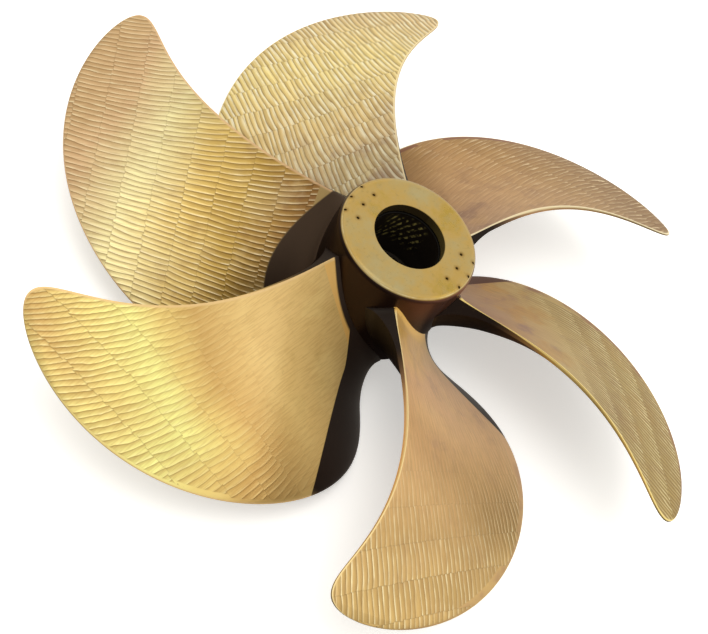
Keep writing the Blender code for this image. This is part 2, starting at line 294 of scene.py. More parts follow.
def turned_bronze():
    """Turned bronze: its own tone on the face, painted shade and light on the side and in the bore."""
    material, tree, add, shader = new_finish("nickel-aluminium bronze, turned")
    place = add("ShaderNodeTexCoord", out="Object")
    x, y, z = add(SPLIT, place).node.outputs
    radius = add("ShaderNodeVectorMath", add(WAY, x, y), out="Value", operation="LENGTH")
    angle = add(MATH, y, x, operation="ARCTAN2")
    below = add(SUBTRACT, AFT_FACE, z)
    clouds, blots, specks = (
        add(NOISE, {"Vector": place, "Scale": 1000 / size, "Detail": 5.0, "Roughness": 0.65})
        for size in (CLOUD_SIZE, BLOT_SIZE, SPECK_SIZE)
    )

    # Face: stains, a brown halo round each hole, and a painted highlight where the edge starts to round off.
    # The two groups of holes are opposite, so the face is folded until they lie on each other.
    face = add("ShaderNodeValToRGB", clouds)
    lay_tones(face.node, ((0.34, "#b39440"), (0.45, "#bd9c56"), (0.55, "#b89e62"), (0.66, "#b3a272")))
    face_coats = [
        (add(RISE, blots, 0.48, 0.68, 0.0, 0.45), "#ab996a"),
        (add(RISE, specks, 0.56, 0.70, 0.0, 0.30), "#8d7a44"),
    ]
    fold = add(MATH, add(SUBTRACT, angle, HOLE_GROUPS[0]), pi / 2, -pi / 2, operation="WRAP")
    for circle in HOLE_CIRCLES:
        step = add(MULTIPLY, fold, circle / HOLE_SPACING)
        nearest = add(MINIMUM, add(MAXIMUM, add(MATH, step, operation="ROUND"), -1.0), 1.0)
        along = add(MULTIPLY, add(SUBTRACT, step, nearest), HOLE_SPACING)
        out = add(SUBTRACT, radius, circle)
        spot = add(MATH, add(ADD, add(MULTIPLY, along, along), add(MULTIPLY, out, out)), operation="SQRT")
        face_coats.append((add(RISE, spot, *HALO, 0.55, 0.0), "#8a6a30"))
    # A painted highlight along the rounded rim.
    rim_highlight_start, rim_highlight_full, rim_highlight_fade, rim_highlight_end = (BOSS_RADIUS - inset for inset in RIM_HIGHLIGHT)
    rim_highlight = add(RISE, radius, rim_highlight_start, rim_highlight_full)
    rim_highlight = add(MULTIPLY, rim_highlight, add(RISE, radius, rim_highlight_fade, rim_highlight_end, 0.5, 0.0))
    rim_highlight = add(MULTIPLY, rim_highlight, add(RISE, blots, 0.40, 0.60, 0.35, 1.0))
    face_coats.append((rim_highlight, "#efdfae"))

    # Side: painted dark as shade, lighter and redder towards +Y as its painted lit side, and darker again
    # further down as painted shade.
    outside = add(RISE, radius, rim_highlight_end, rim_highlight_end + 0.003)
    side_shade_coats = (
        (add(RISE, angle, 0.2, 1.6), "#8c5c46"),
        (add(RISE, below, 0.04, 0.22), "#33251f"),
        (add(RISE, blots, 0.45, 0.70, 0.0, 0.3), "#40291f"),
    )

    # Bore: a mouth painted lighter on one side as if lit, a wall painted dark as shade, slanted bars that
    # a scraper left, broken up by rings and noise, and a black line painted under the step of the
    # counterbore as its shadow.
    inside = add(MATH, radius, BORE_AFT_RADIUS + COUNTERBORE_STEP + 0.020, operation="LESS_THAN")
    inside = add(MULTIPLY, inside, add(RISE, below, 0.001, 0.003))
    # The mouth is painted lighter on one side, as if lit.
    lit_mouth = add(MULTIPLY, add(RISE, angle, 1.1, 1.7), add(RISE, angle, 2.5, 3.14, 1.0, 0.3))
    past_step = add(SUBTRACT, below, COUNTERBORE_DEPTH)
    # Below the counterbore the wall is painted dark as shade.
    deep_shade = add(RISE, past_step, -0.002, -0.001)
    slope = add(MULTIPLY_ADD, angle, BAR_SLANT, add(MULTIPLY, below, 2000 * pi / BAR_PITCH))
    bars = add(RISE, add(ABSOLUTE, add(SINE, slope)), 0.70, 0.97)
    rings_cut = add(ABSOLUTE, add(SINE, add(MULTIPLY, below, 2000 * pi / BAR_RING_PITCH)))
    hatch = add(MULTIPLY, bars, add(RISE, rings_cut, 0.25, 0.75, 0.25, 1.0))
    hatch = add(MULTIPLY, hatch, add(RISE, below, *BARS_TO, 1.0, 0.0))
    reach = add(MAXIMUM, add(RISE, angle, -2.35, -1.95, 1.0, 0.0), add(RISE, angle, 2.85, 3.05))
    scraped = add(MULTIPLY, add(MULTIPLY, hatch, reach), add(RISE, below, *BARS_FROM))
    bar_way = add(WAY, add(MULTIPLY, angle, 1 / BREAK_TURN), add(MULTIPLY, below, 1000 / BREAK_LENGTH))
    breaks = add(NOISE, {"Vector": bar_way, "Scale": 1.6, "Detail": 3.0}, noise_dimensions="2D")
    scraped = add(MULTIPLY, scraped, add(RISE, breaks, 0.40, 0.60))
    # A black line is painted under the step of the counterbore, as its shadow.
    step_shadow = add(MULTIPLY, add(RISE, past_step, -0.004, -0.002), add(RISE, past_step, 0.004, 0.008, 1.0, 0.0))
    bore_coats = ((lit_mouth, "#75673a"), (deep_shade, "#2a2219"), (scraped, "#b5a962"), (step_shadow, "#0f0c09"))

    zones = []
    for colour, coats in (
        (face, face_coats), (linear("#33231e"), side_shade_coats), (linear("#4a3d24"), bore_coats),
    ):
        for share, tone in coats:
            colour = add(COAT, {0: share, 6: colour, 7: linear(tone)}, out=2)
        zones.append(colour)
    colour = add(COAT, {0: outside, 6: zones[0], 7: zones[1]}, out=2)
    colour = add(COAT, {0: inside, 6: colour, 7: zones[2]}, out=2)

    # Gloss: bare metal, duller in the bore and on the scraped bars, with the rings of the lathe tool.
    dull = add(MULTIPLY_ADD, step_shadow, 0.25, add(MULTIPLY_ADD, scraped, -0.35, -0.2))
    metal = add(ADD, add(MULTIPLY, inside, dull), 0.75)
    rough = add(MULTIPLY_ADD, inside, 0.15, add(MULTIPLY_ADD, clouds, 0.20, 0.20))
    ring_way = add(WAY, add(MULTIPLY, radius, 1000 / RING_SIZE), add(MULTIPLY, z, 1000 / RING_SIZE))
    rings = add(NOISE, {"Vector": ring_way, "Scale": 1.0, "Detail": 2.0}, noise_dimensions="2D")
    bump = add("ShaderNodeBump", {"Strength": 0.25, "Distance": 0.0008, "Height": rings})
    connect(tree, shader, {"Base Color": colour, "Metallic": metal, "Roughness": rough, "Normal": bump})
    return material


def worked(name, mesh, tree, values, sharp):
    """The named piece: what the node group makes of the mesh with these values, shaded smooth."""
    raw = link("raw " + name, mesh)
    work = raw.modifiers.new("work", "NODES")
    work.node_group = tree
    for item in tree.interface.items_tree:
        if item.in_out == "INPUT" and item.name in values:
            work[item.identifier] = values[item.name]
    piece = link(name, plain_mesh(raw, name))
    bpy.data.objects.remove(raw)
    piece.data.shade_smooth()
    piece.data.set_sharp_from_angle(angle=sharp)
    return piece


def make_boss():
    """The turned boss with its drilled aft face."""
    mesh = turned("boss", boss_profile(), BOSS_SEGMENTS)
    values = {
        "Aft face": AFT_FACE, "Spacing": HOLE_SPACING, "Hole radius": HOLE_RADIUS, "Hole depth": HOLE_DEPTH,
        "Countersink": HOLE_COUNTERSINK, "Finish": turned_bronze(),
    }
    boss = worked("turned_boss", mesh, hole_tree(), values, BOSS_SHARP)
    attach(boss, "root")
    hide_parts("boss")


make_boss()


# Blades: six alike, cast in one with the boss in nickel-aluminium bronze. Each section is a thin
# aerofoil wrapped round its own cylinder, as the drawing of a propeller gives it, and the foot
# runs out on the boss in a hand-ground fillet.

# The design curves are power series from the root to the tip: the skew in radians, the camber in
# chords, and the others in tip radii. A fillet is how far it stands out and how high it is.
ROOT = 0.2
CHORD = (0.352, 1.151, -1.469, 0.082, 0.466)
TIP_FULLNESS = 9.5
SKEW = (0.0, -1.341, 4.104, -3.652, 1.394)
RAKE = (-0.192, -0.441, 1.482, -1.705, 0.714)
PITCH = (1.537, 2.722, -5.355, 3.837, -0.752)
THICKNESS = (0.070, -0.100, 0.042)
CAMBER = (0.082, -0.117, 0.040)
FULLEST, NOSE_POWER, TAIL_POWER = 0.44, 0.6, 2.2
ROOT_EDGE, TIP_EDGE = 0.0160, 0.0045
NARROW_CHORD = 0.25
FACE_FILLET = (0.012 * TIP_RADIUS, 0.060 * TIP_RADIUS)
BACK_FILLET = (0.075 * TIP_RADIUS, 0.125 * TIP_RADIUS)
NOSE_FILLET = (0.070 * TIP_RADIUS, 0.120 * TIP_RADIUS)
BACK_FILLET_LEAN = 0.6
FILLET_END_POWER = 8
TRIM_DEPTH = 0.13 * TIP_RADIUS
SUNK_IN_BOSS = 0.0005
SPAN_STATIONS, FACE_POINTS, BACK_POINTS = 206, 236, 60
TIP_CROWDING = 1.6
EDGE_CROWDING = 0.28
BLANK_START, CUTTER_CORE = 0.97 * BOSS_RADIUS, 0.8 * BOSS_RADIUS
CUTTER_SEGMENTS = 192
BLADE_SHARP = radians(52)


def power_series(u, terms):
    """The design curve's value at u, which is 0 at the root and 1 at the tip."""
    return sum(term * u**power for power, term in enumerate(terms))


def fillet(shape, radius):
    """How far a root fillet stands out at this radius: a quarter round, all of it on the boss."""
    width, height = shape
    up = np.clip((radius - BOSS_RADIUS) / height, 0, 1)
    return width * (1 - np.sqrt(1 - (1 - up) ** 2))


def section_frame(radius):
    """Arm, chord, helix angle, skew, rake, thickness, edge and camber at each radius."""
    x = np.maximum(radius / TIP_RADIUS, ROOT)
    u = (x - ROOT) / (1 - ROOT)
    chord = power_series(u, CHORD) * np.sqrt(np.maximum(0, 1 - x**TIP_FULLNESS)) * TIP_RADIUS
    helix = np.arctan2(power_series(u, PITCH), 2 * pi * x)
    skew, rake = power_series(u, SKEW), power_series(u, RAKE) * TIP_RADIUS
    narrow = np.minimum(1, chord / (NARROW_CHORD * TIP_RADIUS)) * TIP_RADIUS
    thickness = power_series(u, THICKNESS) * narrow
    edge = (ROOT_EDGE + (TIP_EDGE - ROOT_EDGE) * np.minimum(u, 1)) * narrow
    return x * TIP_RADIUS, chord, helix, skew, rake, thickness, edge, power_series(u, CAMBER) * chord


def chord_shares(count):
    """Shares of the chord from the leading edge, a little closer at both edges."""
    even = np.linspace(0, 1, count)
    return (1 - EDGE_CROWDING) * even + EDGE_CROWDING * (1 - np.cos(pi * even)) / 2


def blade_surface(radius, share, side):
    """Points of the blade at these radii and shares, on the face where side is 1 or the back at -1."""
    arm, chord, helix, skew, rake, thickness, edge, camber = (v[:, None] for v in section_frame(radius))
    on_face, on_back, on_nose = (fillet(s, radius)[:, None] for s in (FACE_FILLET, BACK_FILLET, NOSE_FILLET))
    ahead = thickness / 2 * np.maximum(0, 1 - ((FULLEST - share) / FULLEST) ** 2) ** NOSE_POWER
    behind = np.maximum(0, (share - FULLEST) / (1 - FULLEST)) ** TAIL_POWER
    half = np.where(share < FULLEST, ahead, thickness / 2 - (thickness - edge) / 2 * behind)
    end = (2 * share - 1) ** FILLET_END_POWER
    face_flare = on_face * (1 - end)
    back_flare = on_back * (1 - BACK_FILLET_LEAN * (1 - share**2)) * np.where(share < 0.5, 1 - end, 1)
    mean = -camber * (1 - (2 * share - 1) ** 2)
    normal = np.where(side > 0, mean + half + face_flare, mean - half - back_flare)
    along = (0.5 - share) * chord
    arc = along * np.cos(helix) + normal * np.sin(helix) + on_nose * (1 - share) ** 2
    angle = -skew + arc / arm
    height = AFT_FACE + rake - along * np.sin(helix) + normal * np.cos(helix)
    return np.stack([radius[:, None] * np.cos(angle), radius[:, None] * np.sin(angle), height], -1)


def blade_blank():
    """One blade as a dense closed mesh, from inside the boss to its tip, along +X."""
    way = np.linspace(0, 1, SPAN_STATIONS + 1)[:-1]
    radius = TIP_RADIUS - (TIP_RADIUS - BLANK_START) * (1 - way) ** TIP_CROWDING
    face, back = chord_shares(FACE_POINTS), chord_shares(BACK_POINTS)
    share = np.concatenate([face, back[::-1][:-1]])
    side = np.concatenate([np.ones(FACE_POINTS), -np.ones(BACK_POINTS - 1)])
    rings = blade_surface(radius, share[None, :], side[None, :])
    count = len(share)
    i, j = np.meshgrid(np.arange(SPAN_STATIONS - 1), np.arange(count), indexing="ij")
    k = (j + 1) % count
    quads = np.stack([i * count + j, i * count + k, (i + 1) * count + k, (i + 1) * count + j], -1)
    faces = quads.reshape(-1, 4).tolist()
    tip_angle = -power_series(1, SKEW)
    tip_height = AFT_FACE + power_series(1, RAKE) * TIP_RADIUS
    tip = (TIP_RADIUS * cos(tip_angle), TIP_RADIUS * sin(tip_angle), tip_height)
    points = rings.reshape(-1, 3).tolist() + [tip]
    last = (SPAN_STATIONS - 1) * count
    faces += [(last + n, last + (n + 1) % count, len(points) - 1) for n in range(count)]
    faces.append(tuple(range(count))[::-1])
    mesh = bpy.data.meshes.new("blade blank")
    mesh.from_pydata(points, [], faces)
    shape = bmesh.new()
    shape.from_mesh(mesh)
    bmesh.ops.recalc_face_normals(shape, faces=shape.faces)
    shape.to_mesh(mesh)
    shape.free()
    return mesh


def trimmed_blade():
    """The blank with its foot cut to the boss, and to a cone flush with the boss's forward end."""
    blank = link("blade blank", blade_blank())
    radius, bottom = BOSS_RADIUS - SUNK_IN_BOSS, FORWARD_FACE - TRIM_DEPTH
    profile = [(CUTTER_CORE, AFT_FACE), (radius, AFT_FACE), (radius, FORWARD_FACE)]
    profile += [(radius + TRIM_DEPTH, bottom), (CUTTER_CORE, bottom)]
    cutter = link("foot cutter", turned("foot cutter", profile, CUTTER_SEGMENTS))
    cut = blank.modifiers.new("foot", "BOOLEAN")
    cut.operation, cut.solver, cut.object = "DIFFERENCE", "EXACT", cutter
    mesh = plain_mesh(blank, "trimmed blade")
    bpy.data.objects.remove(blank)
    bpy.data.objects.remove(cutter)
    return mesh


# Milling of the blades: a ball cutter clears each face in straight strips across the blade and steps
# over between short passes, so the crests between passes don't line up from strip to strip. The
# edges are ground by hand, and the thick root of the leading edge keeps its cast skin, which the
# finish paints dark as shade.

# The line of the cast skin starts at SKIN_START and bends near the boss. The step over grows by
# STEP_GROWTH per tip radius beyond MID_SPAN. A row bows by PASS_BOW passes, shifts by up to STRIP_SHIFT
# from strip to strip and drifts by up to DRIFT_PASSES. The waves of drift and shake are in millimetres,
# along the passes' way and along a strip's way, and NEXT_STRIP sets neighbours apart in them.
STRIP_WIDTH = 0.119
SCALLOP_DEPTH = 0.0005
EDGE_GROUND = (0.002, 0.010)
SKIN_START = (0.327 * TIP_RADIUS, 0.133 * TIP_RADIUS)
SKIN_SLOPE = 0.47
SKIN_BEND_FROM, SKIN_BEND_OVER, SKIN_BEND = 0.25 * TIP_RADIUS, 0.05 * TIP_RADIUS, 0.035 * TIP_RADIUS
STEP_GROWTH = 0.5
MID_SPAN = 0.6
PASS_BOW = 0.45
STRIP_SHIFT = 7.0
DRIFT_PASSES = 1.5
DRIFT_WAVES, SHAKE_WAVES = (250, 400), (38.46, 833.3)
NEXT_STRIP = 5.3
MARKS = ("strip way", "pass way", "from edge", "from nose", "radius share", "past line", "past foot")
CHANCE = "ShaderNodeTexWhiteNoise"


def mark_surface(mesh, lean, root_line, foot_from, skin_shift):
    """Stores on each point where it lies for the cutter and for the hand that grinds."""
    points = np.empty(len(mesh.vertices) * 3)
    mesh.vertices.foreach_get("co", points)
    x, y, z = points.reshape(-1, 3).T
    radius, angle = np.hypot(x, y), np.arctan2(y, x)
    arm, chord, helix, skew, rake, _, _, camber = section_frame(radius)
    arc, rise = (angle + skew) * arm, z - AFT_FACE - rake
    along = arc * np.cos(helix) - rise * np.sin(helix)
    normal = arc * np.sin(helix) + rise * np.cos(helix)
    share = np.clip(0.5 - along / np.maximum(chord, 1e-6), 0, 1)
    start_x, start_y = SKIN_START
    near_boss = np.maximum(0, SKIN_BEND_FROM - x) / SKIN_BEND_OVER
    skin_line = start_y + SKIN_SLOPE * (x - start_x) - SKIN_BEND * near_boss**2
    out, middle, steep = root_line
    root_x = TIP_RADIUS * (out - steep * (y / TIP_RADIUS - middle) ** 2)
    marks = {
        "strip way": x * cos(lean) + y * sin(lean),
        "pass way": y * cos(lean) - x * sin(lean),
        "from edge": np.minimum(share, 1 - share) * chord,
        "from nose": share * chord,
        "radius share": radius / TIP_RADIUS,
        "on face": (normal > -camber * (1 - (2 * share - 1) ** 2)).astype(float),
        "past line": (y - skin_line) * cos(np.arctan(SKIN_SLOPE)) - skin_shift * TIP_RADIUS,
        "past root": x - root_x,
        "past foot": x - np.maximum(root_x, foot_from * TIP_RADIUS),
    }
    for name, values in marks.items():
        layer = mesh.attributes.new(name, "FLOAT", "POINT")
        layer.data.foreach_set("value", values.astype(np.float32))


def milled_share(tree, mark, strip_chance, nose_band):
    """How much of the milling is left, and how much of the cast skin, as nodes for both kinds of tree."""
    add = partial(add_node, tree)
    in_reach = add(RISE, mark["radius share"], 0.60, 0.68, 1.0, 0.0)
    # The cast skin is left unmilled, and the blade finish paints it dark as shade.
    skin = add(MULTIPLY, add(RISE, mark["past line"], -0.001, 0.002), in_reach)
    off_edge, off_foot = add(RISE, mark["from edge"], *EDGE_GROUND), add(RISE, mark["past foot"], 0.0, 0.003)
    band = add(MULTIPLY, add(MULTIPLY_ADD, strip_chance, 1.3, 0.3), nose_band)
    off_nose = add(RISE, add(SUBTRACT, mark["from nose"], band), -0.006, 0.006)
    left = add(MULTIPLY, add(MULTIPLY, off_edge, off_foot), off_nose)
    return add(MULTIPLY, left, add(SUBTRACT, 1.0, skin)), skin


def pass_pattern(tree, strip_way, pass_way, rows, seed):
    """Where a point lies in its strip and its pass: adds the nodes for both kinds of tree.

    Gives the place across the strip, the distance from the strip's end, a chance number for the
    strip, the place across the pass from -1 to 1, and a chance number for the pass.
    """
    add, width, step_over = partial(add_node, tree), rows["Strip width"], rows["Step over"]

    # Strips: their ends lie at a slightly other place in each row.
    row = add(FLOOR, add(DIVIDE, pass_way, step_over))
    strip_place = add(ADD, add(DIVIDE, strip_way, width), seed)
    border = add(FLOOR, add(ADD, strip_place, 0.5))
    play = add(CHANCE, {"Vector": add(WAY, row, border, seed)}, out="Value", noise_dimensions="3D")
    play = add(MULTIPLY, add(SUBTRACT, play, 0.5), rows["End play"])
    shifted = add(ADD, strip_place, play)
    strip = add(FLOOR, shifted)
    across = add(SUBTRACT, add(SUBTRACT, strip_place, strip), 0.5)
    from_end = add(MATH, shifted, 0.5, operation="PINGPONG")
    strip_chance = add(CHANCE, {"W": add(ADD, strip, seed)}, out="Value", noise_dimensions="1D")

    # Passes: rows that slant across the strip, bow a little, drift and shake, and start at a place
    # of their own in each strip. The step grows from the middle of the blade outwards.
    waves = []
    for pass_wave, strip_wave in (DRIFT_WAVES, SHAKE_WAVES):
        along = add(MULTIPLY_ADD, strip, NEXT_STRIP, add(MULTIPLY, strip_way, 1000 / strip_wave))
        way = add(WAY, along, add(MULTIPLY, pass_way, 1000 / pass_wave))
        waves.append(add(NOISE, {"Vector": way, "Scale": 1.0, "Detail": 2.0}, noise_dimensions="2D"))
    strip_out = add(MULTIPLY, add(SUBTRACT, add(ADD, strip, 0.5), seed), width)
    strip_out = add(SUBTRACT, add(DIVIDE, strip_out, TIP_RADIUS), MID_SPAN)
    swing = add(MULTIPLY_ADD, pass_way, rows["Swing"], rows["Slant"])
    slant = add(MULTIPLY_ADD, strip_out, rows["Fan"], swing)
    pitch = add(MULTIPLY, step_over, add(MULTIPLY_ADD, strip_out, STEP_GROWTH, 1.0))
    place = add(MULTIPLY_ADD, add(MULTIPLY, across, across), PASS_BOW, add(DIVIDE, pass_way, pitch))
    for share, weight in (
        (across, slant), (strip_chance, STRIP_SHIFT), (waves[0], DRIFT_PASSES),
        (waves[1], rows["Unevenness"]),
    ):
        place = add(MULTIPLY_ADD, share, weight, place)
    turn = add(MULTIPLY_ADD, add(MATH, place, operation="FRACT"), 2.0, -1.0)
    pass_number = add(WAY, add(FLOOR, place), strip, seed)
    pass_chance = add(CHANCE, {"Vector": pass_number}, out="Value", noise_dimensions="3D")
    return across, from_end, strip_chance, turn, pass_chance


def milling_tree():
    """Geometry nodes that press the hollows of the passes into a blade."""
    tree, add, size = begin_group("milled passes", (
        "Strip width", "Step over", "Slant", "Fan", "Swing", "End play", "Unevenness", "Depth", "Nose band",
        "Seed", "Clear from", "Clear to", "Least",
    ))
    mark = {
        name: add("GeometryNodeInputNamedAttribute", {"Name": name}, out="Attribute", data_type="FLOAT")
        for name in MARKS
    }
    _, from_end, strip_chance, turn, pass_chance = pass_pattern(
        tree, mark["strip way"], mark["pass way"], size, size["Seed"]
    )

    # Each pass is a hollow between two crests, some deeper than others. Strips differ in height, and
    # a pass runs out at the end of its strip.
    hollow = add(SUBTRACT, add(MULTIPLY, turn, turn), 0.4)
    step = add(MULTIPLY_ADD, strip_chance, 0.4, -0.2)
    height = add(MULTIPLY_ADD, hollow, add(MULTIPLY_ADD, pass_chance, 0.5, 0.75), step)
    height = add(MULTIPLY, height, add(RISE, from_end, 0.0, 0.06))
    milled, _ = milled_share(tree, mark, strip_chance, size["Nose band"])
    clear = add(RISE, mark["radius share"], size["Clear from"], size["Clear to"], size["Least"])
    height = add(MULTIPLY, height, add(MULTIPLY, clear, milled))
    height = add(MULTIPLY, height, size["Depth"])
    out_way = {0: add("GeometryNodeInputNormal"), "Scale": height}
    out_way = add("ShaderNodeVectorMath", out_way, operation="SCALE")
    moved = add("GeometryNodeSetPosition", {"Geometry": size["Geometry"], "Offset": out_way})
    end_group(add, moved, size["Finish"])
    return tree


# Finish of the blades: nickel-aluminium bronze, milled, then left to tarnish. It is a warm metal whose
# tone drifts from pale gold to brown, with a painted highlight band in some blades, a painted glint on
# the crest and a painted shadow line along each pass, ground edges painted pale as a highlight and a
# bright ground foot. The root next to the boss, the cast skin and the back are painted dark as shade.

# Sizes of its patterns, in millimetres, along a strip's way and along the passes' way where there are
# two. The cutter's feed marks are about 1 mm apart and too fine to show, so they are drawn 5 mm apart.
TARNISH_SIZE, PATCH_SIZE, BLOTCH_SIZE, GRAIN_SIZE = 455, 217, 143, 14.3
GLINT_SIZE = (62.5, 16.67)
FEED_SIZE = (83.3, 5)
# Tones of the painted strip shade, the painted crest shadow, the seam, the painted back shade and specks.
STRIP_SHADE, PASS_SHADOW_LINE, STRIP_SEAM = "#8a6830", "#6a4a1e", "#6b5228"
BACK_SHADE, SPECKS = "#241a15", "#6e5632"


def milled_bronze(name, looks, rows, seed):
    """Milled bronze, in the tones and with the clearness of pass that looks gives."""
    material, tree, add, shader = new_finish(name)
    mark = {
        key: add("ShaderNodeAttribute", out="Fac", attribute_name=key)
        for key in MARKS + ("on face", "past root")
    }
    across, from_end, strip_chance, turn, pass_chance = pass_pattern(
        tree, mark["strip way"], mark["pass way"], rows, seed
    )
    milled, skin = milled_share(tree, mark, strip_chance, looks["nose band"])
    place = add("ShaderNodeTexCoord", out="Object")
    tarnish, patches, blotches, grain = (
        add(NOISE, {"Vector": place, "Scale": 1000 / size, "Detail": 5.0, "Roughness": 0.6})
        for size in (TARNISH_SIZE, PATCH_SIZE, BLOTCH_SIZE, GRAIN_SIZE)
    )

    # Tarnish and painted light: tones from the foot out that wander a little, with a painted highlight
    # band in some and each blade painted lighter or darker as it faces the light, and stains and patches
    # near the foot.
    wander = add(MULTIPLY, add(SUBTRACT, tarnish, 0.5), looks["drift"])
    at_nose = add(RISE, mark["from nose"], 0.0, 0.25 * TIP_RADIUS, looks["tone at nose"], 0.0)
    along = add(ADD, add(ADD, wander, mark["radius share"]), at_nose)
    colour = add("ShaderNodeValToRGB", along)
    lay_tones(colour.node, looks["tones"])
    near_foot = add(RISE, mark["radius share"], 0.25, 0.75, 1.0, 0.25)
    stains = add(MULTIPLY, add(RISE, blotches, 0.50, 0.70, 0.0, looks["stained"]), near_foot)
    patch_tone, patched = looks["patch"]
    patched = add(MULTIPLY, add(RISE, patches, 0.48, 0.60, 0.0, patched), near_foot)

    # Passes: strips and passes painted in unlike shade, as if each were tilted a little to the light, a
    # painted shaded side, a broken painted glint on the lit side, a painted shadow line beside each crest
    # and a seam at the strip's end.
    low, high, least = looks["clear"]
    clear = add(MULTIPLY, add(RISE, mark["radius share"], low, high, least), milled)
    # Strips and passes painted in unlike shade, as if each were tilted a little to the light.
    strip_shade = add(MULTIPLY_ADD, pass_chance, 0.20, add(MULTIPLY, strip_chance, looks["strips"]))
    strip_shade = add(MULTIPLY, strip_shade, clear)
    rise = add(MULTIPLY_ADD, turn, looks["lit side"] * 0.5, 0.5)
    dark, light, line = looks["relief"]
    shade = add(MULTIPLY, add(RISE, rise, 0.0, 0.70, dark, 0.0), clear)
    slope = looks["slant"] * looks["step"] / STRIP_WIDTH
    row_way = add(MULTIPLY_ADD, mark["strip way"], slope, mark["pass way"])
    glint_way, feed_way = (
        (add(MULTIPLY, mark["strip way"], 1000 / long), add(MULTIPLY, row_way, 1000 / wide))
        for long, wide in (GLINT_SIZE, FEED_SIZE)
    )
    glint = add(NOISE, {"Vector": add(WAY, *glint_way, seed), "Scale": 1.0, "Detail": 2.0})
    glint = add(MULTIPLY, add(RISE, glint, 0.36, 0.60, 0.35, 1.0), clear)
    glint = add(MULTIPLY, glint, add(MULTIPLY_ADD, pass_chance, 0.5, 0.5))
    glint = add(MULTIPLY, glint, add(RISE, across, -0.4, 0.45, 1.0 - looks["far end"], 1.0))
    # A broken glint painted on the lit side of each pass.
    lit = add(MULTIPLY, add(RISE, rise, *looks["lit from"], 0.0, light), glint)
    # A thin shadow line painted beside each crest.
    groove_shadow = add(MULTIPLY, add(RISE, rise, 0.02, 0.20, line, 0.0), clear)
    seam = add(MULTIPLY, add(RISE, from_end, 0.004, 0.026, looks["seam"], 0.0), clear)
    feed = add(NOISE, {"Vector": add(WAY, *feed_way), "Scale": 1.0, "Detail": 3.0}, noise_dimensions="2D")
    fine = add(MULTIPLY, add(RISE, feed, 0.46, 0.64, 0.0, 0.20), milled)

    # Ground and cast places and painted shade: the ground foot, the nose, the ground edges painted pale
    # as a highlight, and the root next to the boss, the cast skin and the back, painted dark as shade.
    foot = add(RISE, mark["past foot"], 0.0, 0.003, 1.0, 0.0)
    nose = add(RISE, add(SUBTRACT, mark["from nose"], looks["nose band"] * 1.6), -0.05, 0.02, 1.0, 0.0)
    nose = add(MULTIPLY, nose, add(SUBTRACT, 1.0, milled))
    nose = add(MULTIPLY, nose, add(RISE, patches, 0.42, 0.56, 0.25, 1.0))
    nose = add(MULTIPLY, nose, looks["nosed"])
    flank_from = add(RISE, mark["radius share"], 0.30, 0.50, 0.90, 0.35)
    flank = add(RISE, mark["on face"], flank_from, add(MULTIPLY_ADD, flank_from, 0.2, 0.75))
    # Along the ground edges the tone is painted pale, as a highlight.
    bare = add(MULTIPLY, add(RISE, mark["from edge"], *looks["edge band"], 0.9, 0.0), flank)
    # Next to the boss the root is painted dark as shade, except where its tone is a bright one.
    root = add(RISE, mark["past root"], -0.004, looks["root blur"], 1.0, 0.0)
    # Near the boss the back is painted dark as shade.
    inward = add(RISE, mark["radius share"], 0.30, 0.52, 1.0, 0.0)
    behind = add(MULTIPLY, add(SUBTRACT, 1.0, flank), inward)
    # Of these coats the root, the skin and the back are painted shade, and the edge a painted highlight.
    coats = (
        (stains, looks["stain"]), (patched, patch_tone), (strip_shade, STRIP_SHADE), (shade, looks["shade"]),
        (lit, looks["lit"]), (groove_shadow, PASS_SHADOW_LINE), (seam, STRIP_SEAM), (fine, looks["shade"]),
        (foot, looks["foot"]), (nose, looks["nose"]), (bare, looks["edge"]), (root, looks["root"]),
        (skin, looks["skin"]), (behind, BACK_SHADE), (add(RISE, grain, 0.60, 0.75, 0.0, 0.15), SPECKS),
    )
    for share, tone in coats:
        colour = add(COAT, {0: share, 6: colour, 7: linear(tone)}, out=2)

    # Gloss: metal under a skin of tarnish. The places painted dark as shade stay plain metal, so they
    # mirror the dark ground, and the burr along crests and seams catches the light.
    shine = add(RISE, mark["radius share"], 0.45, 0.72, looks["shine"], 0.62)
    shine = add(MULTIPLY_ADD, bare, -0.25, shine)
    root_shade = add(MULTIPLY, root, looks["root shade"])
    shine = add(MULTIPLY_ADD, add(SUBTRACT, root_shade, root), 0.3, shine)
    dark_metal = add(MAXIMUM, add(MAXIMUM, root_shade, skin), behind)
    metal = add(MULTIPLY_ADD, dark_metal, 0.3, shine)
    rough = add(MULTIPLY_ADD, dark_metal, 0.15, add(MULTIPLY_ADD, blotches, 0.14, 0.27))
    crest = add(MATH, add(ABSOLUTE, turn), 4.0, operation="POWER")
    relief = add(MULTIPLY_ADD, add(RISE, from_end, 0.0, 0.03, 1.0, 0.0), 0.3, crest)
    relief = add(MULTIPLY, add(MULTIPLY_ADD, feed, 0.30, relief), clear)
    bump = add("ShaderNodeBump", {"Strength": 1.0, "Distance": looks["burr"], "Height": relief})
    connect(tree, shader, {"Base Color": colour, "Metallic": metal, "Roughness": rough, "Normal": bump})
    return material


# Each blade: how its passes run and what tones it has taken, from the foot out. Its tones are partly
# tarnish and partly painted light: each blade is painted lighter or darker as it faces the light, and
# blade_1 and blade_6 carry a painted highlight band. The blades were finished one by one, so the lean
# and fan of the passes, the side of a pass that catches the light and how clear the passes are
# inwards all differ.

